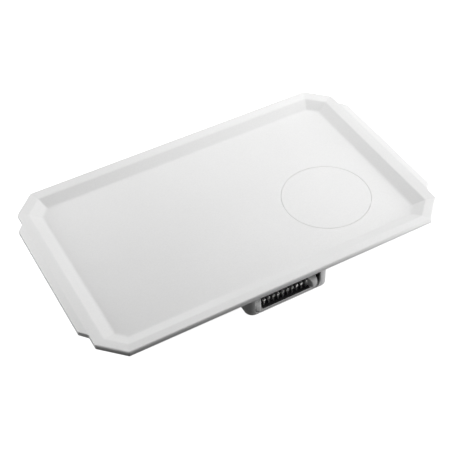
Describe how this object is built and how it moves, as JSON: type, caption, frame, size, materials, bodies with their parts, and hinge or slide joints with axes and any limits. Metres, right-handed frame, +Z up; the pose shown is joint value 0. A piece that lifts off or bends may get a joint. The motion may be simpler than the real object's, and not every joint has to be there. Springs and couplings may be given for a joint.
{
  "type": "cutting board",
  "caption": "White tray-shaped cutting board with grip wings, a round inset zone and a hooded docking connector with sprung contacts under its front edge.",
  "frame": {"origin": "centre of the board in plan, on the surface that the feet stand on", "axes": "+X along the length towards the round zone, +Y to the back, away from the connector, +Z up"},
  "size_m": [0.5302, 0.3244, 0.041],
  "materials": {
    "white_plastic": "satin moulded, fine texture",
    "grey_plastic": "matt moulded",
    "black_plastic": "satin moulded",
    "plated_contact": "bright plated",
    "steel": "satin stainless",
    "rubber": "matt",
    "element_foil": "satin",
    "board_laminate": "satin lacquer"
  },
  "bodies": {
    "board": {"tray": "white_plastic", "connector_hood": "white_plastic", "connector_bezel": "white_plastic", "zone_element": "element_foil", "base_cover": "grey_plastic", "flat_cable": "grey_plastic", "cover_gasket": "rubber", "foot_front_left": "rubber", "foot_front_right": "rubber", "foot_back_left": "rubber", "foot_back_right": "rubber", "contact_block": "black_plastic", "contact_board": "board_laminate", "foot_screw_front_left": "steel", "foot_screw_front_right": "steel", "foot_screw_back_left": "steel", "foot_screw_back_right": "steel", "cover_screw_front_left": "steel", "cover_screw_front_right": "steel", "cover_screw_back_left": "steel", "cover_screw_back_right": "steel", "hood_screw_front_left": "steel", "hood_screw_front_right": "steel", "hood_screw_back_left": "steel", "hood_screw_back_right": "steel", "board_screw_1": "steel", "board_screw_2": "steel", "contact_spring_01": "steel", "contact_spring_02": "steel", "contact_spring_03": "steel", "contact_spring_04": "steel", "contact_spring_05": "steel", "contact_spring_06": "steel", "contact_spring_07": "steel", "contact_spring_08": "steel", "contact_spring_09": "steel", "contact_spring_10": "steel", "blade_contact_01": "plated_contact", "blade_contact_02": "plated_contact", "blade_contact_03": "plated_contact", "blade_contact_04": "plated_contact", "blade_contact_05": "plated_contact", "blade_contact_06": "plated_contact", "blade_contact_07": "plated_contact", "blade_contact_08": "plated_contact", "blade_contact_09": "plated_contact", "blade_contact_10": "plated_contact"},
    "insert": {"round_insert": "white_plastic"},
    "contact_01": {"ring_contact_01": "plated_contact"},
    "contact_02": {"ring_contact_02": "plated_contact"},
    "contact_03": {"ring_contact_03": "plated_contact"},
    "contact_04": {"ring_contact_04": "plated_contact"},
    "contact_05": {"ring_contact_05": "plated_contact"},
    "contact_06": {"ring_contact_06": "plated_contact"},
    "contact_07": {"ring_contact_07": "plated_contact"},
    "contact_08": {"ring_contact_08": "plated_contact"},
    "contact_09": {"ring_contact_09": "plated_contact"},
    "contact_10": {"ring_contact_10": "plated_contact"}
  },
  "joints": [
    {"name": "insert_lift", "type": "slide", "parent": "board", "child": "insert", "axis": [0, 0, 1], "range_m": [0, 0.03]},
    {"name": "contact_press_01", "type": "slide", "parent": "board", "child": "contact_01", "axis": [0, 1, 0], "range_m": [0, 0.0015], "stiffness_N_per_m": 400, "springref_m": -0.0015, "deforming": ["contact_spring_01"]},
    {"name": "contact_press_02", "type": "slide", "parent": "board", "child": "contact_02", "axis": [0, 1, 0], "range_m": [0, 0.0015], "stiffness_N_per_m": 400, "springref_m": -0.0015, "deforming": ["contact_spring_02"]},
    {"name": "contact_press_03", "type": "slide", "parent": "board", "child": "contact_03", "axis": [0, 1, 0], "range_m": [0, 0.0015], "stiffness_N_per_m": 400, "springref_m": -0.0015, "deforming": ["contact_spring_03"]},
    {"name": "contact_press_04", "type": "slide", "parent": "board", "child": "contact_04", "axis": [0, 1, 0], "range_m": [0, 0.0015], "stiffness_N_per_m": 400, "springref_m": -0.0015, "deforming": ["contact_spring_04"]},
    {"name": "contact_press_05", "type": "slide", "parent": "board", "child": "contact_05", "axis": [0, 1, 0], "range_m": [0, 0.0015], "stiffness_N_per_m": 400, "springref_m": -0.0015, "deforming": ["contact_spring_05"]},
    {"name": "contact_press_06", "type": "slide", "parent": "board", "child": "contact_06", "axis": [0, 1, 0], "range_m": [0, 0.0015], "stiffness_N_per_m": 400, "springref_m": -0.0015, "deforming": ["contact_spring_06"]},
    {"name": "contact_press_07", "type": "slide", "parent": "board", "child": "contact_07", "axis": [0, 1, 0], "range_m": [0, 0.0015], "stiffness_N_per_m": 400, "springref_m": -0.0015, "deforming": ["contact_spring_07"]},
    {"name": "contact_press_08", "type": "slide", "parent": "board", "child": "contact_08", "axis": [0, 1, 0], "range_m": [0, 0.0015], "stiffness_N_per_m": 400, "springref_m": -0.0015, "deforming": ["contact_spring_08"]},
    {"name": "contact_press_09", "type": "slide", "parent": "board", "child": "contact_09", "axis": [0, 1, 0], "range_m": [0, 0.0015], "stiffness_N_per_m": 400, "springref_m": -0.0015, "deforming": ["contact_spring_09"]},
    {"name": "contact_press_10", "type": "slide", "parent": "board", "child": "contact_10", "axis": [0, 1, 0], "range_m": [0, 0.0015], "stiffness_N_per_m": 400, "springref_m": -0.0015, "deforming": ["contact_spring_10"]}
  ]
}
